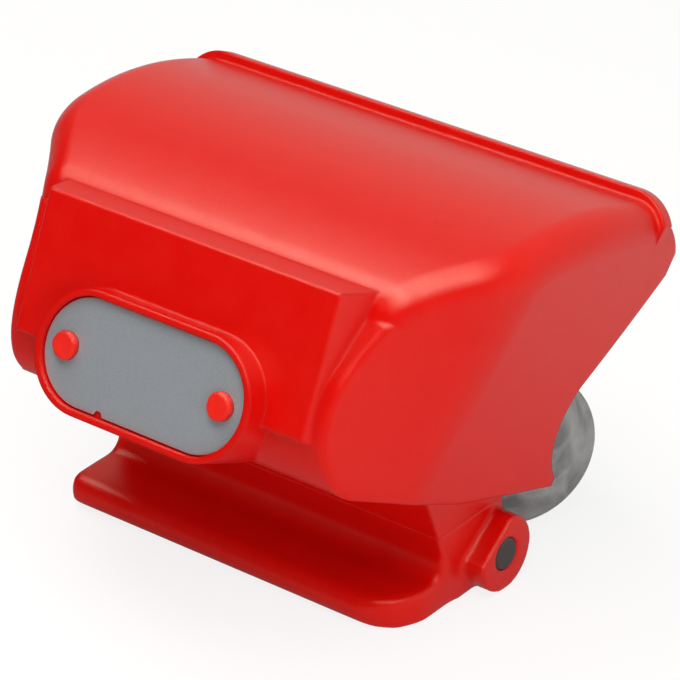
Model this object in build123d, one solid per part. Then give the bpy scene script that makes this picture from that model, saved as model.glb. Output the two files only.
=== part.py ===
from build123d import *
import math
import os

# Quick coupling for two air lines: a sprung cover with a hand paddle, hinged on a cast housing.
# Millimetres. X runs along the hinge pin, Y to the back and Z up from the table it rests on.
# Outlines are drawn from the hinge pin's axis. The whole part is centred at the end.

# Hinge
pin_diameter = 8.0
running_clearance = 0.05
lug_radius = 9.3
lug_height = 6.0
lug_flat = 5.6
lug_flat_angle = 36.0
knuckle_radius = 8.0
knuckle_length = 10.0
middle_knuckle = 16.0
side_clearance = 1.0

# Hood, in a frame that leans back with its front: depth from the pin axis, then height
hood_lean = 24.2
wall = 3.6
rim_half_width = 69.7
rim_depth = 7.7
rim_height = 86.2
cheek_depth = 72.3
valley_depth = 65.8
valley_height = 52.0
floor_height = 12.0
floor_front = 60.4
bead_height = 2.5
bead_thickness = 3.4
bead_corner = 11.0
shoulder_radius = 7.5
knee_radius = 22.0
ridge_radius = 2.5
rib_thickness = 3.0
rib_pitch = 26.0
bay_length = 60.0
bay_depth = 46.0
stop_gap = 0.3
stop_length = 7.0

# Neck and paddle
neck_width = 98.0
neck_wall = 5.0
paddle_reach = 34.4
paddle_corner_left = 3.0
paddle_corner_right = 14.0
paddle_back = 10.0

# Block on the cover's front
block_width = 82.1
block_height = 33.4
block_foot = 23.1
block_depth = 74.0
block_flare = 4.0

# Nameplate, its ring and its stakes
plate_length = 56.5
plate_width = 25.0
plate_thickness = 0.8
plate_height = 25.3
plate_gap = 0.3
plate_sink = 1.2
ring_width = 1.9
ring_height = 6.0
stake_pitch = 44.2
stake_head = 6.6
stake_post = 4.0
stake_height = 1.4
stake_gap = 0.1

# Housing, in the coupling face's frame: width, distance up the face from the pin, then forward
coupling_slope = 41.0
port_pitch = 64.0
port_rise = 29.3
boss_radius = 19.9
plate_back = 3.0
plate_front = 12.0
plate_top = 67.0
shoulder_rise = 24.0
tongue_rise = 9.0
housing_width = 100.0
housing_corner = 12.0
seat_radius = 17.5
seat_height = 5.0
web_width = 8.0
web_depth = 10.0
mount_hole = 9.0

# Ports and valves
port_radius = 10.25
port_depth = 12.0
port_floor = 2.5
passage_radius = 5.5
chamber_radius = 9.2
insert_radius = 11.0
insert_length = 7.0
insert_bore = 5.2
fit_clearance = 0.05
clip_thickness = 1.1
clip_bite = 1.2
clip_width = 2.4
clip_opening = 4.0
cord_radius = 0.9
seal_radius = 14.5
seal_bore = 8.0
seal_depth = 4.0
seal_stand = 1.2
poppet_radius = 7.8
poppet_thickness = 1.8
poppet_stem = 2.0
poppet_travel = 3.0
fin_thickness = 1.6
stem_drop = 0.8
washer_thickness = 1.5
valve_wire = 1.2
valve_turns = 2.5

# Cover springs
coil_wire = 2.2
coil_gap = 0.8
coil_pitch = 2.7
coil_turns = 4
leg_length = 14.0

pin_radius = pin_diameter / 2
bore_radius = pin_radius + running_clearance
pin_height = lug_radius
pin_length = neck_width + 2 * lug_height
hollow_width = neck_width - 2 * neck_wall
tongue_width = hollow_width - 2 * side_clearance
port_x = port_pitch / 2
plate_face = block_depth + ring_height - plate_sink
seat_face = plate_front + seat_height
lean = math.radians(hood_lean)
slope = math.radians(coupling_slope)
boss_end = -(pin_height + (port_rise - boss_radius) * math.sin(slope)) / math.cos(slope)
chamber_floor = boss_end + port_depth + port_floor
clip_top = seat_face - seal_depth
insert_top = clip_top - clip_thickness
insert_foot = insert_top - insert_length
poppet_face = insert_foot - washer_thickness
poppet_back = poppet_face - poppet_thickness

pin_axis = (0, 0, pin_height)
level_plane = Plane(origin=pin_axis, x_dir=(0, 1, 0), z_dir=(1, 0, 0))
hood_plane = Plane(origin=pin_axis, x_dir=(0, math.cos(lean), -math.sin(lean)), z_dir=(1, 0, 0))
side_plane = Plane(origin=pin_axis, x_dir=(0, math.cos(slope), math.sin(slope)), z_dir=(1, 0, 0))
face_plane = Plane(origin=pin_axis, x_dir=(1, 0, 0), z_dir=(0, -math.sin(slope), math.cos(slope)))
front_plane = Plane(origin=pin_axis, x_dir=(1, 0, 0), z_dir=-hood_plane.x_dir)


def in_hood(shape):
    """Centre of a shape in the hood's frame, as depth, height and width."""
    return hood_plane.to_local_coords(shape.center())


def slab(section, width):
    """A section across the pin, made as wide as given about the middle."""
    return extrude(section, amount=width / 2, both=True)


def outline(plane, points):
    """A flat face with straight sides through the given points."""
    with BuildSketch(plane) as sketch:
        with BuildLine():
            Polyline(*points, close=True)
        make_face()
    return sketch.sketch


def disc(x, rise, start, end, outer, inner=0):
    """A disc or ring square to the coupling face, from one distance forward of the pin to another."""
    place = face_plane * Pos(x, rise, start)
    ring = Circle(outer) - Circle(inner) if inner else Circle(outer)
    return extrude(place * ring, amount=end - start)


# Hood


def crown_section():
    """The hood's upper half: steep nose, long crown and the back edge below the rim."""
    with BuildSketch(hood_plane) as section:
        with BuildLine():
            foot = Line((-valley_depth, valley_height - 10), (-valley_depth, valley_height))
            nose = TangentArc(foot @ 1, (-61.6, 61.2), tangent=foot % 1)
            top = TangentArc(nose @ 1, (rim_depth, rim_height), tangent=nose % 1)
            Polyline(top @ 1, (15.9, 76.0), (16.2, 70.5), (2.1, valley_height - 10), foot @ 0)
        make_face()
    return section.sketch


def cheek_section():
    """The hood's lower half: rounded cheek, flat floor and the notch over the port bosses."""
    with BuildSketch(hood_plane) as section:
        with BuildLine():
            front = Line((-valley_depth, valley_height), (-70.6, 39.5))
            cheek = TangentArc(front @ 1, (-71.0, 22.5), tangent=front % 1)
            chin = TangentArc(cheek @ 1, (-floor_front, floor_height), tangent=cheek % 1)
            base = Polyline(chin @ 1, (-23.0, floor_height), (10.0, 16.4), (10.0, 18.5))
            notch = ThreePointArc(base @ 1, (2.4, 28.1), (2.1, valley_height - 10))
            Polyline(notch @ 1, (5.0, valley_height), front @ 0)
        make_face()
    return section.sketch


def cavity_section():
    """Inside of the hood, one wall in from the crown and the cheek, open past the back edge."""
    floor = floor_height + wall
    with BuildSketch(hood_plane) as section:
        with BuildLine():
            top = ThreePointArc((-57.5, 60.4), (-27.5, 75.0), (rim_depth, rim_height - wall))
            Polyline(top @ 1, (60, rim_height - wall), (60, 0), (3.5, 0), (3.5, floor + 3.5),
                     (-23, floor), (-floor_front + wall, floor), (-cheek_depth + 2 * wall, 24),
                     (-cheek_depth + 2 * wall, 38), (-valley_depth + wall, valley_height), top @ 0)
        make_face()
    return section.sketch


def hood_plan(height, right):
    """Plan outline of the hood at one height, from its right side's points (width, depth)."""
    plane = Plane(origin=hood_plane.from_local_coords(Vector(0, height, 0)), x_dir=(1, 0, 0),
                  z_dir=-hood_plane.y_dir)
    side = [(x, -depth) for x, depth in right]
    return outline(plane, side + [(-x, y) for x, y in reversed(side)]).faces()[0]


def hood_sides(inset, knee):
    """The tapered solid that the hood's flared side walls are cut from, moved in by inset."""
    low = [(43.0 - inset, -80), (51.5 - inset, -40), (55.5 - inset, 30)]
    high = [(38.0 - inset, -80), (75.0 - inset, -48), (rim_half_width - inset, 30)]
    sides = loft([hood_plan(10, low), hood_plan(92, high)], ruled=True)
    corners = [e for e in sides.edges() if in_hood(e).X < -30 and 45 < in_hood(e).Y < 60
               and abs(e.center().X) > 50]
    return fillet(corners, knee)


def hood_form():
    """The hood's outer shape: crown and cheek, with the upright ridge at each side of the block."""
    sides = hood_sides(0, knee_radius)
    crown = slab(crown_section(), 200) & sides
    shoulders = [e for e in crown.edges() if abs(e.center().X) > 40 and e.length > 6
                 and in_hood(e).X < rim_depth and valley_height - 2 < in_hood(e).Y < rim_height - 0.5]
    crown = fillet(shoulders, shoulder_radius)
    cheek = slab(cheek_section(), 200) & sides
    ridges = [e for e in cheek.edges() if abs(e.center().X) > 40 and e.length > 6
              and in_hood(e).X < -62 and floor_height + 1 < in_hood(e).Y < valley_height - 1]
    return crown + fillet(ridges, ridge_radius)


def rim_bead():
    """Raised bead along the top of the back edge, running out into the side walls."""
    top = rim_height + bead_height
    arch = front_plane * Pos(0, top - 15, bead_thickness - rim_depth) * RectangleRounded(
        2 * rim_half_width + 1.6, 30, bead_corner)
    return extrude(arch, amount=-bead_thickness) & hood_sides(0, knee_radius)


def ribs(form, cavity):
    """Stiffening ribs inside the hood, clear of the bay, with a nose that stops on the housing."""
    front = plate_front + stop_gap
    bay = slab(outline(side_plane, [(-20, -60), (120, -60), (120, front), (bay_length, front),
                                    (bay_length, bay_depth), (-20, bay_depth)]), 200)
    nose = outline(side_plane, [(bay_length, front), (bay_length + stop_length, front),
                                (bay_length + stop_length + 3, front + 6), (bay_length, front + 10)])
    inside = (form & cavity) - bay
    pair = []
    for x in (-rib_pitch / 2, rib_pitch / 2):
        strip = Pos(x, 0, 0) * slab(cavity_section(), rib_thickness)
        pair.append((inside & strip) + Pos(x, 0, 0) * slab(nose, rib_thickness))
    return pair[0] + pair[1]


# Block, ring and stakes


def stadium(forward, length, width):
    """A rounded slot shape in front of the pin, centred on the nameplate."""
    return front_plane * Pos(0, plate_height, forward) * SlotOverall(length, width)


def front_block():
    """Flat block on the hood's front, spreading as it runs back into the crown."""
    centre = block_foot + block_height / 2
    face = front_plane * Pos(0, centre, block_depth) * Rectangle(block_width, block_height)
    back = front_plane * Pos(0, centre, block_depth - 12) * Rectangle(
        block_width + 2 * block_flare, block_height + block_flare)
    block = loft([face.faces()[0], back.faces()[0]], ruled=True)
    edges = [e for e in block.edges() if in_hood(e).X < 0.1 - block_depth]
    return fillet(edges, 0.8)


def nameplate_ring():
    outer = stadium(block_depth - 10, plate_length + 2 * ring_width, plate_width + 2 * ring_width)
    ring = extrude(outer, amount=10 + ring_height)
    floor = stadium(plate_face - plate_thickness, plate_length + 2 * plate_gap, plate_width + 2 * plate_gap)
    return ring - extrude(floor, amount=20)


def stakes():
    """Posts melted over the nameplate into round heads with a dimple."""
    pair = []
    for x in (-stake_pitch / 2, stake_pitch / 2):
        seat = front_plane * Pos(x, plate_height, plate_face)
        post = extrude(seat * Circle(stake_post / 2), amount=-plate_thickness - 0.5)
        head = extrude(seat * Circle(stake_head / 2), amount=stake_height)
        rim = [e for e in head.edges() if in_hood(e).X < 0.1 - plate_face - stake_height]
        head = chamfer(rim, 0.5)
        dimple = seat * Pos(0, 0, stake_height + 1.0) * Sphere(1.6)
        pair.append(post + head - dimple)
    return pair[0] + pair[1]


def nameplate():
    plate = extrude(stadium(plate_face, plate_length, plate_width), amount=-plate_thickness)
    for x in (-stake_pitch / 2, stake_pitch / 2):
        hole = front_plane * Pos(x, plate_height, plate_face) * Circle(stake_post / 2 + stake_gap)
        plate -= extrude(hole, amount=2, both=True)
    notch = front_plane * Pos(-9.5, plate_height - plate_width / 2, plate_face) * Circle(1.2)
    return plate - extrude(notch, amount=2, both=True)


# Neck, paddle and lugs


def neck_form():
    """Solid block of the neck with its paddle, before it is hollowed from behind."""
    floor = -pin_height
    with BuildSketch(level_plane) as section:
        with BuildLine():
            neck = Spline((-29.0, 33.0), (-23.0, 22.0), (-18.6, 11.0), (-16.2, 4.6))
            hollow = TangentArc(neck @ 1, (-21.5, -1.2), tangent=neck % 1)
            lip = Line(hollow @ 1, (4.0 - paddle_reach, -1.4))
            nose = ThreePointArc(lip @ 1, (-paddle_reach, -4.8), (4.0 - paddle_reach, floor))
            Polyline(nose @ 1, (-3.0, floor), (2.0, 0), (7.0, 6.1), (6.0, 10.6), (12.0, 16.0),
                     (0.0, 30.0), neck @ 0)
        make_face()
    block = slab(section.sketch, neck_width)
    plan = Pos(0, 40 - paddle_reach, -1) * Rectangle(neck_width, 80)
    front = plan.vertices().group_by(Axis.Y)[0].sort_by(Axis.X)
    plan = fillet(front[0], paddle_corner_left)
    front = plan.vertices().group_by(Axis.Y)[0].sort_by(Axis.X)
    plan = fillet(front[-1], paddle_corner_right)
    above = Pos(0, 0, pin_height + 2) * Rectangle(neck_width + 10, 150)
    return block & (extrude(plan, amount=pin_height + 4) + extrude(above, amount=60))


def neck_hollow():
    """Space behind the neck's front wall, open to the back and up into the hood."""
    back = -paddle_back
    return slab(outline(level_plane, [(back, -20), (back, 3), (-13.2, 11), (-17.5, 21), (-22.0, 28),
                                      (-22.0, 50), (60, 50), (60, -20)]), hollow_width)


def lugs():
    """Round ears for the pin, each with a flat on its upper front."""
    pair = []
    for side in (-1, 1):
        middle = side * (hollow_width + neck_wall + lug_height) / 2
        ear = Pos(middle, 0, 0) * slab(level_plane * Circle(lug_radius), neck_wall + lug_height)
        flat = level_plane * Rot(0, 0, lug_flat_angle) * Pos(0, lug_flat + 10) * Rectangle(40, 20)
        pair.append(ear - Pos(side * (neck_width + 10) / 2, 0, 0) * slab(flat, 10))
    return pair[0] + pair[1]


def cover():
    form = hood_form()
    cavity = slab(cavity_section(), 200) & hood_sides(wall, knee_radius - wall)
    shell = form + rim_bead() + front_block() + nameplate_ring() + neck_form()
    shell = shell - cavity - neck_hollow() + ribs(form, cavity) + lugs() + stakes()
    return shell - slab(level_plane * Circle(bore_radius), 200)


# Hinge pin and cover springs


def hinge_pin():
    pin = slab(level_plane * Circle(pin_radius), pin_length)
    return chamfer(pin.edges().filter_by(GeomType.CIRCLE), 0.5)


def coil(place, radius, wire, pitch, turns):
    """Round wire wound on a helix about the place's axis."""
    path = place * Helix(pitch, pitch * turns, radius)
    return sweep(Plane(origin=path @ 0, z_dir=path % 0) * Circle(wire / 2), path=path, is_frenet=True)


def cover_spring():
    """Torsion spring round the pin, right side: one leg behind the housing, one on the paddle."""
    radius = pin_radius + coil_gap + coil_wire / 2
    touch = coil_wire / 2 + fit_clearance
    first = slope + math.atan2(plate_back, tongue_rise) + math.acos(
        (radius + touch) / math.hypot(plate_back, tongue_rise))
    foot = (touch - paddle_back, touch + 0.8 - pin_height)
    last = math.atan2(foot[1], foot[0]) - math.acos(radius / math.hypot(*foot)) + 2 * math.pi
    turns = coil_turns + (last - first) / (2 * math.pi)
    start = middle_knuckle / 2 + 0.4 + coil_wire / 2
    place = Plane(origin=(start, 0, pin_height), x_dir=(0, math.cos(first), math.sin(first)), z_dir=(1, 0, 0))
    spring = coil(place, radius, coil_wire, coil_pitch, turns)
    back_leg = place * Pos(radius, 0, 0) * Rot(90, 0, 0) * Cylinder(
        coil_wire / 2, leg_length, align=(Align.CENTER, Align.CENTER, Align.MIN))
    end = Plane(origin=(start + coil_pitch * turns, 0, pin_height),
                x_dir=(0, math.cos(last), math.sin(last)), z_dir=(1, 0, 0))
    front_length = math.sqrt(math.hypot(*foot) ** 2 - radius ** 2)
    front_leg = end * Pos(radius, 0, 0) * Rot(-90, 0, 0) * Cylinder(
        coil_wire / 2, front_length, align=(Align.CENTER, Align.CENTER, Align.MIN))
    return spring + back_leg + front_leg


# Housing


def housing_plate():
    """Upright coupling plate with its tongue, drawn on the coupling face."""
    half = housing_width / 2
    neck = tongue_width / 2
    tongue = Pos(0, (tongue_rise + plate_top) / 2) * Rectangle(2 * neck, plate_top - tongue_rise)
    head = Pos(0, (shoulder_rise + plate_top) / 2) * Rectangle(2 * half, plate_top - shoulder_rise)
    plan = tongue + head
    corners = [v for v in plan.vertices() if v.Y > plate_top - 1 and abs(v.X) > half - 1]
    plan = fillet(corners, housing_corner)
    return extrude(face_plane * Pos(0, 0, plate_back) * plan, amount=plate_front - plate_back)


def knuckle(x, length):
    """Hinge eye on the pin with the arm that carries it down from the plate."""
    eye = side_plane * Circle(knuckle_radius)
    arm = outline(side_plane, [(-0.5, knuckle_radius - 0.1), (tongue_rise + 1, plate_front),
                               (tongue_rise + 6, plate_front), (tongue_rise + 6, plate_back),
                               (2, 0.4 - knuckle_radius)])
    return Pos(x, 0, 0) * slab(eye + arm, length)


def housing():
    body = housing_plate()
    for x in (-port_x, port_x):
        body += disc(x, port_rise, boss_end, plate_back, boss_radius)
        body += disc(x, port_rise, plate_front - 1, seat_face, seat_radius)
    web_foot = tongue_rise + 4
    web = Pos(0, (plate_top - 8 + web_foot) / 2, plate_back - web_depth) * Rectangle(
        web_width, plate_top - 8 - web_foot)
    body += extrude(face_plane * web, amount=web_depth + 1)
    body += knuckle(0, middle_knuckle)
    for side in (-1, 1):
        body += knuckle(side * (tongue_width - knuckle_length) / 2, knuckle_length)
    for x in (-port_x, port_x):
        body -= disc(x, port_rise, boss_end - 1, boss_end + port_depth, port_radius)
        body -= disc(x, port_rise, boss_end, chamber_floor + 1, passage_radius)
        body -= disc(x, port_rise, chamber_floor, seat_face, chamber_radius)
        body -= disc(x, port_rise, insert_foot, seat_face, insert_radius)
        body -= disc(x, port_rise, insert_top, clip_top, insert_radius + clip_bite)
        body -= disc(x, port_rise, clip_top, seat_face + 1, seal_radius)
    for side in (-1, 1):
        x = side * (housing_width / 2 - housing_corner)
        body -= disc(x, plate_top - housing_corner, 0, plate_front + 1, mount_hole / 2)
    return body - slab(level_plane * Circle(bore_radius), 200)


# Valves


def valve_insert(x):
    """Sleeve that guides the poppet and is its seat, with a groove for the O-ring."""
    sleeve = disc(x, port_rise, insert_foot, insert_top, insert_radius - fit_clearance, insert_bore)
    middle = (insert_foot + insert_top) / 2
    groove = disc(x, port_rise, middle - cord_radius - 0.2, middle + cord_radius + 0.2,
                  insert_radius + 1, insert_radius - 2 * cord_radius - 2 * fit_clearance)
    return sleeve - groove


def o_ring(x):
    middle = (insert_foot + insert_top) / 2
    ring = Torus(insert_radius - cord_radius - fit_clearance, cord_radius)
    return face_plane * Pos(x, port_rise, middle) * ring


def insert_ring(x):
    """Open snap ring over the insert, in a groove of the housing."""
    outer = insert_radius + clip_bite - fit_clearance
    ring = disc(x, port_rise, insert_top, clip_top, outer, outer - clip_width)
    gap = face_plane * Pos(x, port_rise + outer, insert_top) * Rectangle(clip_opening, 2 * outer - 6)
    return ring - extrude(gap, amount=clip_thickness)


def face_seal(x):
    """Rubber ring with a raised lip that the mating half is pressed against."""
    outer = seal_radius - fit_clearance
    tip = seat_face + seal_stand
    with BuildSketch(Plane.XZ) as section:
        with BuildLine():
            Polyline((seal_bore, clip_top), (outer, clip_top), (outer, seat_face - 0.6),
                     (outer - 2.2, tip), (outer - 4.2, tip), (seal_bore, seat_face - 0.8), close=True)
        make_face()
    return face_plane * Pos(x, port_rise, 0) * revolve(section.sketch, Axis.Z)


def valve_poppet(x):
    """Head, stem and guide fins that slide in the insert."""
    head = disc(x, port_rise, poppet_back, poppet_face, poppet_radius)
    stem = disc(x, port_rise, poppet_face, seat_face - stem_drop, poppet_stem)
    fins = Rectangle(2 * (insert_bore - 0.15), fin_thickness) + Rectangle(fin_thickness, 2 * (insert_bore - 0.15))
    place = face_plane * Pos(x, port_rise, insert_foot)
    return head + stem + extrude(place * fins, amount=insert_length - 1)


def poppet_seal(x):
    return disc(x, port_rise, poppet_face, insert_foot, poppet_radius, poppet_stem)


def valve_spring(x):
    radius = (chamber_radius + passage_radius) / 2
    foot = chamber_floor + valve_wire / 2 + fit_clearance
    rise = poppet_back - chamber_floor - valve_wire - 2 * fit_clearance
    return coil(face_plane * Pos(x, port_rise, foot), radius, valve_wire, rise / valve_turns, valve_turns)


# One node for each piece, centred over the table

right_spring = cover_spring()
nodes = {
    "cover": cover(),
    "nameplate": nameplate(),
    "hinge_pin": hinge_pin(),
    "housing": housing(),
    "torsion_spring_left": mirror(right_spring, about=Plane.YZ),
    "torsion_spring_right": right_spring,
}
valve_pieces = {
    "valve_insert": valve_insert,
    "o_ring": o_ring,
    "insert_ring": insert_ring,
    "face_seal": face_seal,
    "valve_poppet": valve_poppet,
    "poppet_seal": poppet_seal,
    "valve_spring": valve_spring,
}
for piece, make in valve_pieces.items():
    nodes[piece + "_left"] = make(-port_x)
    nodes[piece + "_right"] = make(port_x)

box = Compound(list(nodes.values())).bounding_box()
centre = Pos(0, -(box.min.Y + box.max.Y) / 2, 0)
print("pin axis at Y", round(-(box.min.Y + box.max.Y) / 2, 4), "size", box.size)

os.makedirs("parts", exist_ok=True)
for name, shape in nodes.items():
    export_step(centre * shape, f"parts/{name}.step")
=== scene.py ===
import math
import bmesh
import bpy
from mathutils import Matrix, Vector


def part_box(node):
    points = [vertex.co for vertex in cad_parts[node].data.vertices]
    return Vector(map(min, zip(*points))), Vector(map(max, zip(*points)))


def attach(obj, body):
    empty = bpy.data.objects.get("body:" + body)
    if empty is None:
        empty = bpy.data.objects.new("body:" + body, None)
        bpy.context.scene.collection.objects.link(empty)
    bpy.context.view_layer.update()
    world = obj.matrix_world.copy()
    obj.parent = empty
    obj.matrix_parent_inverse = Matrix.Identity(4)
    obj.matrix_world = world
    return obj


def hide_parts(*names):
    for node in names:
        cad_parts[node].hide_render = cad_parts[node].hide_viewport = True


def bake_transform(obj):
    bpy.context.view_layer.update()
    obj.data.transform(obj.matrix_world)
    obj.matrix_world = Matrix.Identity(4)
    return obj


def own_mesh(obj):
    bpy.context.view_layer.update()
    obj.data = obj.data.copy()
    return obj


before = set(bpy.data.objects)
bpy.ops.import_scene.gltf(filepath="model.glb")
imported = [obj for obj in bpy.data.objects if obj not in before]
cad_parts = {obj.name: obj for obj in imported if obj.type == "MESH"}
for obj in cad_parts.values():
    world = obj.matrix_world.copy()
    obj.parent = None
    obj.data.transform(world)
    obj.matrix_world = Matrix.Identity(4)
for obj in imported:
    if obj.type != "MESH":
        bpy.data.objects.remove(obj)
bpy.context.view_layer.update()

# Studio: a white table and backdrop, one long softbox overhead and a broad fill at the front right.
# The room is pale behind the object and dark in front of it and to its left, as the gloss shows.
# The object stands on the paddle and the two port bosses, turned so that its right end is nearer.

camera_place = Vector((0.4780, -0.5969, 0.4748))
camera_back = Vector((0.5370, -0.6901, 0.4852))
lens_length = 201.7

camera_data = bpy.data.cameras.new("camera")
camera_data.sensor_width = 36
camera_data.lens = lens_length
camera = bpy.data.objects.new("camera", camera_data)
camera.location = camera_place
camera.rotation_euler = camera_back.to_track_quat("Z", "Y").to_euler()
bpy.context.scene.collection.objects.link(camera)
bpy.context.scene.camera = camera
bpy.context.scene.view_settings.view_transform = "Standard"


def soft_light(name, place, target, width, depth, radiance):
    """Rectangular softbox that looks at the target, as bright as its radiance says."""
    data = bpy.data.lights.new(name, "AREA")
    data.shape = "RECTANGLE"
    data.size = width
    data.size_y = depth
    data.energy = radiance * math.pi * width * depth
    lamp = bpy.data.objects.new(name, data)
    lamp.location = place
    lamp.rotation_euler = (Vector(place) - Vector(target)).to_track_quat("Z", "Y").to_euler()
    bpy.context.scene.collection.objects.link(lamp)
    return lamp


overhead = soft_light("overhead_light", place=(-0.02, -0.17, 0.79), target=(-0.02, -0.17, 0.0),
                      width=1.22, depth=0.40, radiance=4.7)
overhead.rotation_euler = (0, 0, math.radians(-27))
overhead.data.color = (1.0, 0.97, 0.93)
front_fill = soft_light("front_fill", place=(1.1, -0.6, 0.3), target=(0, 0, 0.04),
                        width=1.4, depth=0.7, radiance=2.5)
front_fill.visible_glossy = False

to_the_pale_side = (0.34, 0.94, 0.0)
room_darkest = 0.02
room_palest = 0.52


def room_level(tree, place, front, back):
    """Brightness of the room in the gloss, by how far to the back and right a direction or point lies."""
    along = tree.nodes.new("ShaderNodeVectorMath")
    along.operation = "DOT_PRODUCT"
    along.inputs[1].default_value = to_the_pale_side
    tree.links.new(place, along.inputs[0])
    rise = tree.nodes.new("ShaderNodeMapRange")
    rise.interpolation_type = "SMOOTHSTEP"
    rise.inputs["From Min"].default_value = front
    rise.inputs["From Max"].default_value = back
    rise.inputs["To Min"].default_value = room_darkest
    rise.inputs["To Max"].default_value = room_palest
    tree.links.new(along.outputs["Value"], rise.inputs["Value"])
    return rise.outputs["Result"]


def pick(tree, factor, first, second):
    """Number mix. First and second are sockets or numbers."""
    node = tree.nodes.new("ShaderNodeMix")
    node.data_type = "FLOAT"
    tree.links.new(factor, node.inputs["Factor"])
    for title, value in (("A", first), ("B", second)):
        if isinstance(value, float):
            node.inputs[title].default_value = value
        else:
            tree.links.new(value, node.inputs[title])
    return node.outputs["Result"]


def blend_colours(tree, factor, first, second):
    """Colour mix. First and second are sockets or colours."""
    node = tree.nodes.new("ShaderNodeMix")
    node.data_type = "RGBA"
    tree.links.new(factor, node.inputs["Factor"])
    for title, value in (("A", first), ("B", second)):
        colours = [s for s in node.inputs if s.name == title and s.type == "RGBA"]
        if isinstance(value, tuple):
            colours[0].default_value = value
        else:
            tree.links.new(value, colours[0])
    return [s for s in node.outputs if s.type == "RGBA"][0]


room_light = 0.34
room_tint = (1.0, 0.95, 0.86, 1)
backdrop_white = (1, 1, 1, 1)
world = bpy.data.worlds.new("studio")
world.use_nodes = True
bpy.context.scene.world = world
tree = world.node_tree
tree.nodes.clear()
rays = tree.nodes.new("ShaderNodeLightPath")
direction = tree.nodes.new("ShaderNodeTexCoord")
in_gloss = room_level(tree, direction.outputs["Generated"], front=-0.1, back=0.65)
unseen = pick(tree, rays.outputs["Is Glossy Ray"], room_light, in_gloss)
seen = tree.nodes.new("ShaderNodeMath")
seen.operation = "MAXIMUM"
tree.links.new(rays.outputs["Is Camera Ray"], seen.inputs[0])
tree.links.new(rays.outputs["Is Transmission Ray"], seen.inputs[1])
background = tree.nodes.new("ShaderNodeBackground")
tree.links.new(blend_colours(tree, seen.outputs[0], room_tint, backdrop_white), background.inputs["Color"])
tree.links.new(pick(tree, seen.outputs[0], unseen, 1.0), background.inputs["Strength"])
sky_out = tree.nodes.new("ShaderNodeOutputWorld")
tree.links.new(background.outputs[0], sky_out.inputs["Surface"])

floor_reach = 3.0
paper_white = (0.82, 0.82, 0.82, 1)
floor_glow = 1.04
glow_seen = 0.80
glow_in_gloss = 0.9
floor_mesh = bpy.data.meshes.new("floor")
floor_form = bmesh.new()
bmesh.ops.create_grid(floor_form, x_segments=1, y_segments=1, size=floor_reach)
floor_form.to_mesh(floor_mesh)
floor_form.free()
floor = bpy.data.objects.new("floor", floor_mesh)
bpy.context.scene.collection.objects.link(floor)
paper = bpy.data.materials.new("white_paper")
paper.use_nodes = True
tree = paper.node_tree
tree.nodes.clear()
sheet = tree.nodes.new("ShaderNodeBsdfDiffuse")
sheet.inputs["Color"].default_value = paper_white
rays = tree.nodes.new("ShaderNodeLightPath")
spot = tree.nodes.new("ShaderNodeTexCoord")
in_gloss = room_level(tree, spot.outputs["Object"], front=-0.15, back=0.25)
glow = tree.nodes.new("ShaderNodeEmission")
tree.links.new(pick(tree, rays.outputs["Is Glossy Ray"], floor_glow, in_gloss), glow.inputs["Strength"])
glow_share = pick(tree, rays.outputs["Is Camera Ray"], 0.0, glow_seen)
mixed = tree.nodes.new("ShaderNodeMixShader")
tree.links.new(pick(tree, rays.outputs["Is Glossy Ray"], glow_share, glow_in_gloss), mixed.inputs["Fac"])
tree.links.new(sheet.outputs[0], mixed.inputs[1])
tree.links.new(glow.outputs[0], mixed.inputs[2])
paper_out = tree.nodes.new("ShaderNodeOutputMaterial")
tree.links.new(mixed.outputs[0], paper_out.inputs["Surface"])
floor_mesh.materials.append(paper)

# Cover: one injection-moulded piece in red nylon, hood, front block, neck, paddle and hinge lugs together.
# It has a finely eroded mould skin that scatters the lights a little, and a few pale dust specks.

cover_red = (0.62, 0.0012, 0.0006, 1)
cover_pale_red = (0.66, 0.005, 0.003, 1)
cover_dust = (0.80, 0.36, 0.30, 1)


def material(name, roughness, metallic=0.0):
    """New Principled material, given back with its node tree and its shader."""
    made = bpy.data.materials.new(name)
    made.use_nodes = True
    tree = made.node_tree
    shader = tree.nodes["Principled BSDF"]
    shader.inputs["Roughness"].default_value = roughness
    shader.inputs["Metallic"].default_value = metallic
    return made, tree, shader


def effect(name, inputs, outputs):
    """Empty shader node group with float inputs (name, value) and float outputs."""
    group = bpy.data.node_groups.new(name, "ShaderNodeTree")
    for title, value in inputs:
        socket = group.interface.new_socket(name=title, in_out="INPUT", socket_type="NodeSocketFloat")
        socket.default_value = value
    for title in outputs:
        group.interface.new_socket(name=title, in_out="OUTPUT", socket_type="NodeSocketFloat")
    start = group.nodes.new("NodeGroupInput")
    end = group.nodes.new("NodeGroupOutput")
    return group, start, end


def place_effect(tree, group, **values):
    """Puts the group into a material's tree with this material's own values."""
    node = tree.nodes.new("ShaderNodeGroup")
    node.node_tree = group
    for title, value in values.items():
        node.inputs[title].default_value = value
    return node


# Edge wear and painted edge highlight: the rounded normal differs from the true one only near an edge
edge_wear_and_highlight, start, end = effect("edge_wear_and_highlight", [("Radius", 0.0006), ("Strength", 3.0)], ["Mask"])
rounded = edge_wear_and_highlight.nodes.new("ShaderNodeBevel")
rounded.samples = 6
edge_wear_and_highlight.links.new(start.outputs["Radius"], rounded.inputs["Radius"])
surface = edge_wear_and_highlight.nodes.new("ShaderNodeNewGeometry")
meet = edge_wear_and_highlight.nodes.new("ShaderNodeVectorMath")
meet.operation = "DOT_PRODUCT"
edge_wear_and_highlight.links.new(rounded.outputs["Normal"], meet.inputs[0])
edge_wear_and_highlight.links.new(surface.outputs["Normal"], meet.inputs[1])
away = edge_wear_and_highlight.nodes.new("ShaderNodeMath")
away.operation = "SUBTRACT"
away.inputs[0].default_value = 1.0
edge_wear_and_highlight.links.new(meet.outputs["Value"], away.inputs[1])
stronger = edge_wear_and_highlight.nodes.new("ShaderNodeMath")
stronger.operation = "MULTIPLY"
stronger.use_clamp = True
edge_wear_and_highlight.links.new(away.outputs[0], stronger.inputs[0])
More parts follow.
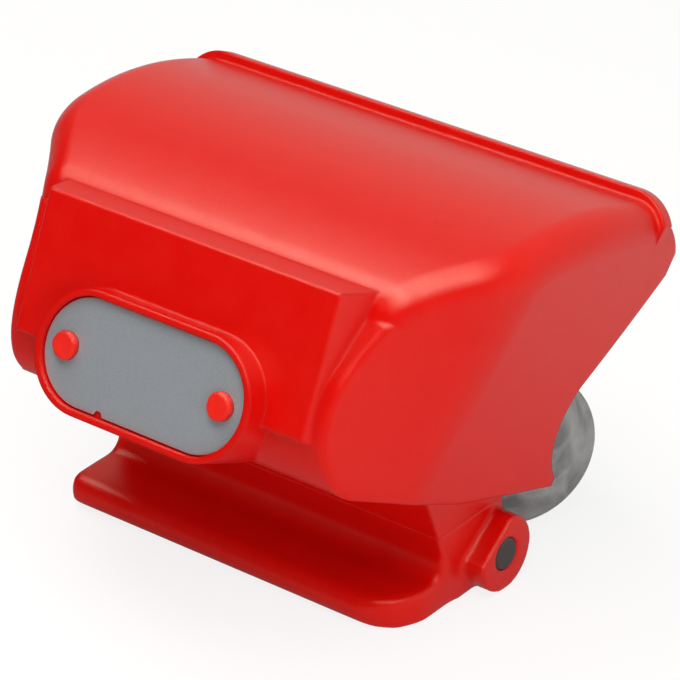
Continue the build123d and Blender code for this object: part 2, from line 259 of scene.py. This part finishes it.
edge_wear_and_highlight.links.new(start.outputs["Strength"], stronger.inputs[1])
edge_wear_and_highlight.links.new(stronger.outputs[0], end.inputs["Mask"])

# Grain: two sizes of noise for a moulded, cast or ground skin
grain, start, end = effect("grain", [("Scale", 1500.0), ("Contrast", 1.0)], ["Height", "Patch"])
place = grain.nodes.new("ShaderNodeTexCoord")
fine = grain.nodes.new("ShaderNodeTexNoise")
fine.inputs["Detail"].default_value = 3.0
grain.links.new(place.outputs["Object"], fine.inputs["Vector"])
grain.links.new(start.outputs["Scale"], fine.inputs["Scale"])
deeper = grain.nodes.new("ShaderNodeMath")
deeper.operation = "MULTIPLY"
grain.links.new(fine.outputs["Fac"], deeper.inputs[0])
grain.links.new(start.outputs["Contrast"], deeper.inputs[1])
grain.links.new(deeper.outputs[0], end.inputs["Height"])
coarser = grain.nodes.new("ShaderNodeMath")
coarser.operation = "MULTIPLY"
coarser.inputs[1].default_value = 0.04
grain.links.new(start.outputs["Scale"], coarser.inputs[0])
broad = grain.nodes.new("ShaderNodeTexNoise")
broad.inputs["Detail"].default_value = 4.0
grain.links.new(place.outputs["Object"], broad.inputs["Vector"])
grain.links.new(coarser.outputs[0], broad.inputs["Scale"])
grain.links.new(broad.outputs["Fac"], end.inputs["Patch"])

# Dust: rare round specks, each in its own cell
dust, start, end = effect("dust", [("Scale", 150.0), ("Size", 0.03), ("Share", 0.025)], ["Mask"])
place = dust.nodes.new("ShaderNodeTexCoord")
cells = dust.nodes.new("ShaderNodeTexVoronoi")
dust.links.new(place.outputs["Object"], cells.inputs["Vector"])
dust.links.new(start.outputs["Scale"], cells.inputs["Scale"])
near = dust.nodes.new("ShaderNodeMath")
near.operation = "LESS_THAN"
dust.links.new(cells.outputs["Distance"], near.inputs[0])
dust.links.new(start.outputs["Size"], near.inputs[1])
draw = dust.nodes.new("ShaderNodeSeparateColor")
dust.links.new(cells.outputs["Color"], draw.inputs[0])
chosen = dust.nodes.new("ShaderNodeMath")
chosen.operation = "LESS_THAN"
dust.links.new(draw.outputs[0], chosen.inputs[0])
dust.links.new(start.outputs["Share"], chosen.inputs[1])
both = dust.nodes.new("ShaderNodeMath")
both.operation = "MULTIPLY"
dust.links.new(near.outputs[0], both.inputs[0])
dust.links.new(chosen.outputs[0], both.inputs[1])
dust.links.new(both.outputs[0], end.inputs["Mask"])


def finish_surface(tree, shader, colour, skin, bump_distance, rough_low, rough_high):
    """Wires the colour, a bump from the grain's height, and a roughness that follows its patches."""
    tree.links.new(colour, shader.inputs["Base Color"])
    bump = tree.nodes.new("ShaderNodeBump")
    bump.inputs["Distance"].default_value = bump_distance
    tree.links.new(skin.outputs["Height"], bump.inputs["Height"])
    tree.links.new(bump.outputs["Normal"], shader.inputs["Normal"])
    spread = tree.nodes.new("ShaderNodeMapRange")
    spread.inputs["From Min"].default_value = 0.3
    spread.inputs["From Max"].default_value = 0.7
    spread.inputs["To Min"].default_value = rough_low
    spread.inputs["To Max"].default_value = rough_high
    tree.links.new(skin.outputs["Patch"], spread.inputs["Value"])
    tree.links.new(spread.outputs["Result"], shader.inputs["Roughness"])
    return bump


def soften_corners(tree, bump, radius):
    """Lets the gloss run round the corners instead of breaking at them."""
    rounded = tree.nodes.new("ShaderNodeBevel")
    rounded.samples = 6
    rounded.inputs["Radius"].default_value = radius
    tree.links.new(rounded.outputs["Normal"], bump.inputs["Normal"])


soft_corner = 0.0013
gloss_level = 0.7
gloss_tint = (1.0, 0.95, 0.78, 1)


def moulded_plastic(name, base, pale, specks):
    """Semi-gloss moulding: faint patches, edges painted paler as a highlight with some wear, dust specks and
    a fine eroded skin.
    """
    made, tree, shader = material(name, 0.3)
    skin = place_effect(tree, grain, Scale=4200.0)
    edge_mask = place_effect(tree, edge_wear_and_highlight, Radius=0.0005, Strength=1.2)
    dusty = place_effect(tree, dust)
    patchy = blend_colours(tree, skin.outputs["Patch"], base, pale)
    # Edges lightened towards the pale red: a painted highlight along them, with a little wear.
    edged = blend_colours(tree, edge_mask.outputs["Mask"], patchy, pale)
    specked = blend_colours(tree, dusty.outputs["Mask"], edged, specks)
    bump = finish_surface(tree, shader, specked, skin, bump_distance=0.00007, rough_low=0.14, rough_high=0.18)
    soften_corners(tree, bump, soft_corner)
    shader.inputs["Specular IOR Level"].default_value = gloss_level
    shader.inputs["Specular Tint"].default_value = gloss_tint
    return made


def dress(node, made):
    """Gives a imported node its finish."""
    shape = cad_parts[node]
    shape.data.materials.clear()
    shape.data.materials.append(made)


red_plastic = moulded_plastic("red_plastic", cover_red, cover_pale_red, cover_dust)

weld = 0.000004
neck_cut = 0.0195
seam_overlap = 0.0012
edge_round = 0.0004
remesh_step = 0.0006
soften_passes = 40
shade_sharp_from = math.radians(32)
break_edges_from = math.radians(38)


def cut_from_node(name, node, height, keep_above):
    """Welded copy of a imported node, kept only above or below a level cut, and closed there."""
    form = bmesh.new()
    form.from_mesh(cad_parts[node].data)
    bmesh.ops.remove_doubles(form, verts=form.verts, dist=weld)
    everything = form.verts[:] + form.edges[:] + form.faces[:]
    bmesh.ops.bisect_plane(form, geom=everything, dist=0.000001, plane_co=(0, 0, height), plane_no=(0, 0, 1),
                           clear_outer=not keep_above, clear_inner=keep_above)
    rim = [e for e in form.edges if len(e.link_faces) == 1]
    bmesh.ops.triangle_fill(form, use_beauty=True, use_dissolve=False, edges=rim,
                            normal=(0, 0, -1 if keep_above else 1))
    mesh = bpy.data.meshes.new(name)
    form.to_mesh(mesh)
    form.free()
    piece = bpy.data.objects.new(name, mesh)
    bpy.context.scene.collection.objects.link(piece)
    return piece


def settle(piece):
    """Applies the piece's modifiers and shades it smooth between its sharp edges."""
    graph = bpy.context.evaluated_depsgraph_get()
    made = bpy.data.meshes.new_from_object(piece.evaluated_get(graph))
    piece.modifiers.clear()
    piece.data = made
    made.shade_smooth()
    made.set_sharp_from_angle(angle=shade_sharp_from)


def break_edges(piece, width):
    """Rounds the piece's sharp edges a little, and keeps its flat faces even in the light."""
    rounding = piece.modifiers.new("rounding", "BEVEL")
    rounding.limit_method = "ANGLE"
    rounding.angle_limit = break_edges_from
    rounding.width = width
    rounding.segments = 2
    settle(piece)
    flat_faces = piece.modifiers.new("flat_faces", "WEIGHTED_NORMAL")
    flat_faces.keep_sharp = True


def portion(amount, full):
    """How much of the full amount is reached, from 0 to 1."""
    return min(1.0, max(0.0, amount / full))


hood = cut_from_node("cover_hood", "cover", neck_cut, keep_above=True)
break_edges(hood, edge_round)

# The paddle and neck have no sharp edge left: the mesh is made even and its corners melt away
paddle = cut_from_node("cover_paddle", "cover", neck_cut + seam_overlap, keep_above=False)
even_mesh = paddle.modifiers.new("even_mesh", "REMESH")
even_mesh.mode = "VOXEL"
even_mesh.voxel_size = remesh_step
settle(paddle)
soft_below, soft_below_fade = neck_cut - 0.001, 0.005
soft_before, soft_before_fade = -0.001, 0.004
soft = paddle.vertex_groups.new(name="soft")
for vertex in paddle.data.vertices:
    below = portion(soft_below - vertex.co.z, soft_below_fade)
    before = portion(soft_before - vertex.co.y, soft_before_fade)
    if below * before > 0:
        soft.add([vertex.index], below * before, "REPLACE")
melt = paddle.modifiers.new("soft_edges", "SMOOTH")
melt.factor = 0.5
melt.iterations = soften_passes
melt.vertex_group = "soft"
settle(paddle)

# The top of the neck swells over the hood's foot by a hair and then dives into it, which hides the joint
dive_start, dive_height, dive_depth = neck_cut + 0.0005, 0.0005, 0.0004
swell_start, swell_height, swell = neck_cut - 0.0040, 0.0030, 0.00008
level_face = 0.9
outward = [vertex.normal.copy() for vertex in paddle.data.vertices]
for vertex, normal in zip(paddle.data.vertices, outward):
    dive = portion(vertex.co.z - dive_start, dive_height)
    rise = portion(vertex.co.z - swell_start, swell_height)
    if abs(normal.z) < level_face:
        vertex.co += normal * (swell * rise * rise * (3 - 2 * rise) - dive * dive_depth)

for piece in (hood, paddle):
    piece.data.materials.clear()
    piece.data.materials.append(red_plastic)
    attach(piece, "cover")
    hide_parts("cover")

# Stake heads: the ends of two moulded posts, melted over the nameplate with a hot cup so that it stays put.
# The melt is a brighter red than the rest, and a little uneven.

stake_pitch = 0.0442
head_radius = 0.0033
head_height = 0.0018
plate_low, plate_high = [Vector(corner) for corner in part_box("nameplate")]
plate_middle = (plate_low + plate_high) / 2
plate_lean = math.radians(24.2)
front = Vector((0, -math.cos(plate_lean), math.sin(plate_lean)))
plate_turn = front.to_track_quat("Z", "Y").to_matrix().to_4x4()
plate_half_thickness = 0.0004
skirt_level = -0.05
rim_fullness = 3.5
dish_depth = 0.10
dish_reach = 0.75
wide_wave, narrow_wave, wave_lift = 0.025, 0.015, 0.10
melt_red = (0.74, 0.006, 0.003, 1)
melt_pale = (0.80, 0.03, 0.02, 1)

stake_melt = moulded_plastic("stake_melt", melt_red, melt_pale, cover_dust)
for side, name in ((-1, "left"), (1, "right")):
    form = bmesh.new()
    bmesh.ops.create_uvsphere(form, u_segments=40, v_segments=24, radius=1.0)
    bmesh.ops.bisect_plane(form, geom=form.verts[:] + form.edges[:] + form.faces[:],
                           plane_co=(0, 0, skirt_level), plane_no=(0, 0, -1), clear_outer=True)
    for vertex in form.verts:
        around = math.atan2(vertex.co.y, vertex.co.x)
        reach = math.hypot(vertex.co.x, vertex.co.y)
        wave = wide_wave * math.sin(3 * around + side) + narrow_wave * math.sin(7 * around + 2 * side)
        crown = 1 - (1 - portion(vertex.co.z, 1.0)) ** rim_fullness
        dish = dish_depth * max(0.0, 1 - (reach / dish_reach) ** 4)
        vertex.co.x *= 1 + wave
        vertex.co.y *= 1 + wave
        vertex.co.z = crown - dish + wave_lift * wave
    rim = [e for e in form.edges if len(e.link_faces) == 1]
    bmesh.ops.triangle_fill(form, use_beauty=True, use_dissolve=False, edges=rim)
    bmesh.ops.scale(form, vec=(head_radius, head_radius, head_height), verts=form.verts)
    seat = plate_middle + front * plate_half_thickness + Vector((side * stake_pitch / 2, 0, 0))
    bmesh.ops.transform(form, matrix=Matrix.Translation(seat) @ plate_turn, verts=form.verts)
    bmesh.ops.recalc_face_normals(form, faces=form.faces)
    mesh = bpy.data.meshes.new(f"stake_head_{name}")
    form.to_mesh(mesh)
    form.free()
    mesh.shade_smooth()
    mesh.materials.append(stake_melt)
    head = bpy.data.objects.new(f"stake_head_{name}", mesh)
    bpy.context.scene.collection.objects.link(head)
    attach(head, "cover")

# Nameplate: a blank of satin-rolled aluminium sheet, with a highlight painted bright along its edge.
# It lies in the oval ring of the cover's front block.

plate_dark = (0.34, 0.37, 0.42, 1)
plate_grey = (0.84, 0.93, 1.0, 1)
plate_edge_highlight = (0.95, 0.95, 0.96, 1)
plate_corner = 0.0007
plate_metal, tree, shader = material("plate_aluminium", 0.42, 0.55)
skin = place_effect(tree, grain, Scale=4200.0, Contrast=0.5)
# The edge mask paints a bright highlight along the plate's rim, where its edge catches the light.
edge_mask = place_effect(tree, edge_wear_and_highlight, Radius=plate_corner, Strength=5.0)
speckled = blend_colours(tree, skin.outputs["Height"], plate_dark, plate_grey)
edged = blend_colours(tree, edge_mask.outputs["Mask"], speckled, plate_edge_highlight)
bump = finish_surface(tree, shader, edged, skin, bump_distance=0.00005, rough_low=0.40, rough_high=0.46)
soften_corners(tree, bump, plate_corner)


def copy_of_node(name, node, made):
    """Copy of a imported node, in the given material, whose mesh may be changed."""
    piece = bpy.data.objects.new(name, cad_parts[node].data.copy())
    bpy.context.scene.collection.objects.link(piece)
    piece.data.materials.clear()
    piece.data.materials.append(made)
    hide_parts(node)
    return piece


plate_edge = 0.0003
plate = copy_of_node("plate_blank", "nameplate", plate_metal)
form = bmesh.new()
form.from_mesh(plate.data)
bmesh.ops.remove_doubles(form, verts=form.verts, dist=weld)
bmesh.ops.dissolve_limit(form, angle_limit=math.radians(1), verts=form.verts, edges=form.edges)
form.to_mesh(plate.data)
form.free()
break_edges(plate, plate_edge)
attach(plate, "cover")

# Hinge pin: a straight length of dark drawn steel rod, turned off square at both ends.
# It sits fast in the housing's knuckles, and the cover's two lugs turn on it.

pin_grey = (0.12, 0.10, 0.10, 1)
pin_worn = (0.30, 0.28, 0.27, 1)
pin_steel, tree, shader = material("dark_steel", 0.4, 0.7)
skin = place_effect(tree, grain, Scale=1800.0)
edge_mask = place_effect(tree, edge_wear_and_highlight, Radius=0.0005, Strength=2.0)
edged = blend_colours(tree, edge_mask.outputs["Mask"], pin_grey, pin_worn)
finish_surface(tree, shader, edged, skin, bump_distance=0.00005, rough_low=0.3, rough_high=0.5)
dress("hinge_pin", pin_steel)

# Housing: die-cast aluminium with a dull, mottled casting skin and brighter edges where it was trimmed.
# Faint pale lines show where the metal flowed together in the mould.

cast_grey = (0.27, 0.275, 0.28, 1)
cast_pale = (0.52, 0.525, 0.53, 1)
cast_line = (0.72, 0.72, 0.73, 1)
cast_metal, tree, shader = material("cast_housing", 0.6, 0.6)
skin = place_effect(tree, grain, Scale=3400.0)
edge_mask = place_effect(tree, edge_wear_and_highlight, Radius=0.0007, Strength=2.0)
mottle = tree.nodes.new("ShaderNodeMapRange")
mottle.inputs["From Min"].default_value = 0.35
mottle.inputs["From Max"].default_value = 0.68
tree.links.new(skin.outputs["Patch"], mottle.inputs["Value"])
patchy = blend_colours(tree, mottle.outputs["Result"], cast_grey, cast_pale)
place = tree.nodes.new("ShaderNodeTexCoord")
flow = tree.nodes.new("ShaderNodeTexNoise")
flow.inputs["Scale"].default_value = 45.0
flow.inputs["Detail"].default_value = 2.0
flow.inputs["Distortion"].default_value = 0.5
tree.links.new(place.outputs["Object"], flow.inputs["Vector"])
from_middle = tree.nodes.new("ShaderNodeMath")
from_middle.operation = "SUBTRACT"
from_middle.inputs[1].default_value = 0.5
tree.links.new(flow.outputs["Fac"], from_middle.inputs[0])
off_line = tree.nodes.new("ShaderNodeMath")
off_line.operation = "ABSOLUTE"
tree.links.new(from_middle.outputs[0], off_line.inputs[0])
flow_line = tree.nodes.new("ShaderNodeMapRange")
flow_line.inputs["From Min"].default_value = 0.0
flow_line.inputs["From Max"].default_value = 0.06
flow_line.inputs["To Min"].default_value = 0.35
flow_line.inputs["To Max"].default_value = 0.0
tree.links.new(off_line.outputs[0], flow_line.inputs["Value"])
lined = blend_colours(tree, flow_line.outputs["Result"], patchy, cast_line)
edged = blend_colours(tree, edge_mask.outputs["Mask"], lined, cast_pale)
finish_surface(tree, shader, edged, skin, bump_distance=0.00025, rough_low=0.38, rough_high=0.6)
dress("housing", cast_metal)

# Springs and snap rings: plain drawn spring wire, coiled cold, with faint marks along it.
# The cover's two springs wind round the hinge pin, each with one leg on the housing and one on the cover.
# Each poppet's spring is held by the seat at its inner end; here it rides with the housing and keeps its
# length.

steel_grey = (0.32, 0.32, 0.31, 1)
steel_pale = (0.55, 0.55, 0.54, 1)
spring_steel, tree, shader = material("spring_steel", 0.35, 1.0)
skin = place_effect(tree, grain, Scale=2600.0)
patchy = blend_colours(tree, skin.outputs["Patch"], steel_grey, steel_pale)
finish_surface(tree, shader, patchy, skin, bump_distance=0.00003, rough_low=0.25, rough_high=0.42)

bore_in = Vector((0, 0.656059, -0.754710))

for side in ("left", "right"):
    coil = copy_of_node(f"closing_spring_{side}", f"torsion_spring_{side}", spring_steel)
    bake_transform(coil)
    coil = copy_of_node(f"poppet_spring_{side}", f"valve_spring_{side}", spring_steel)
    reach = [vertex.co.dot(bore_in) for vertex in coil.data.vertices]
    seat = max(coil.data.vertices, key=lambda vertex: vertex.co.dot(bore_in)).co.copy()
    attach(coil, "housing")
    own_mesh(coil)

# Valve inserts and poppets: turned from brass rod, with a fine lathe finish.
# The insert is pushed into the housing's bore and guides the poppet, which slides in it.

brass = (0.62, 0.44, 0.18, 1)
brass_pale = (0.74, 0.58, 0.30, 1)
valve_brass, tree, shader = material("valve_brass", 0.3, 1.0)
skin = place_effect(tree, grain, Scale=2600.0)
edge_mask = place_effect(tree, edge_wear_and_highlight, Radius=0.0003, Strength=2.0)
patchy = blend_colours(tree, skin.outputs["Patch"], brass, brass_pale)
edged = blend_colours(tree, edge_mask.outputs["Mask"], patchy, brass_pale)
finish_surface(tree, shader, edged, skin, bump_distance=0.00002, rough_low=0.22, rough_high=0.36)

# Seals: matte black rubber, pressed in a mould, with a grey bloom.
# One ring seals the insert in its bore, one takes the mating half, and a washer closes the poppet.

rubber_black = (0.012, 0.012, 0.013, 1)
rubber_bloom = (0.045, 0.045, 0.047, 1)
seal_rubber, tree, shader = material("seal_rubber", 0.6)
skin = place_effect(tree, grain, Scale=1500.0)
patchy = blend_colours(tree, skin.outputs["Patch"], rubber_black, rubber_bloom)
finish_surface(tree, shader, patchy, skin, bump_distance=0.00003, rough_low=0.5, rough_high=0.7)

for side in ("left", "right"):
    dress(f"insert_ring_{side}", spring_steel)
    for name in ("valve_insert", "valve_poppet"):
        dress(f"{name}_{side}", valve_brass)
    for name in ("o_ring", "face_seal", "poppet_seal"):
        dress(f"{name}_{side}", seal_rubber)
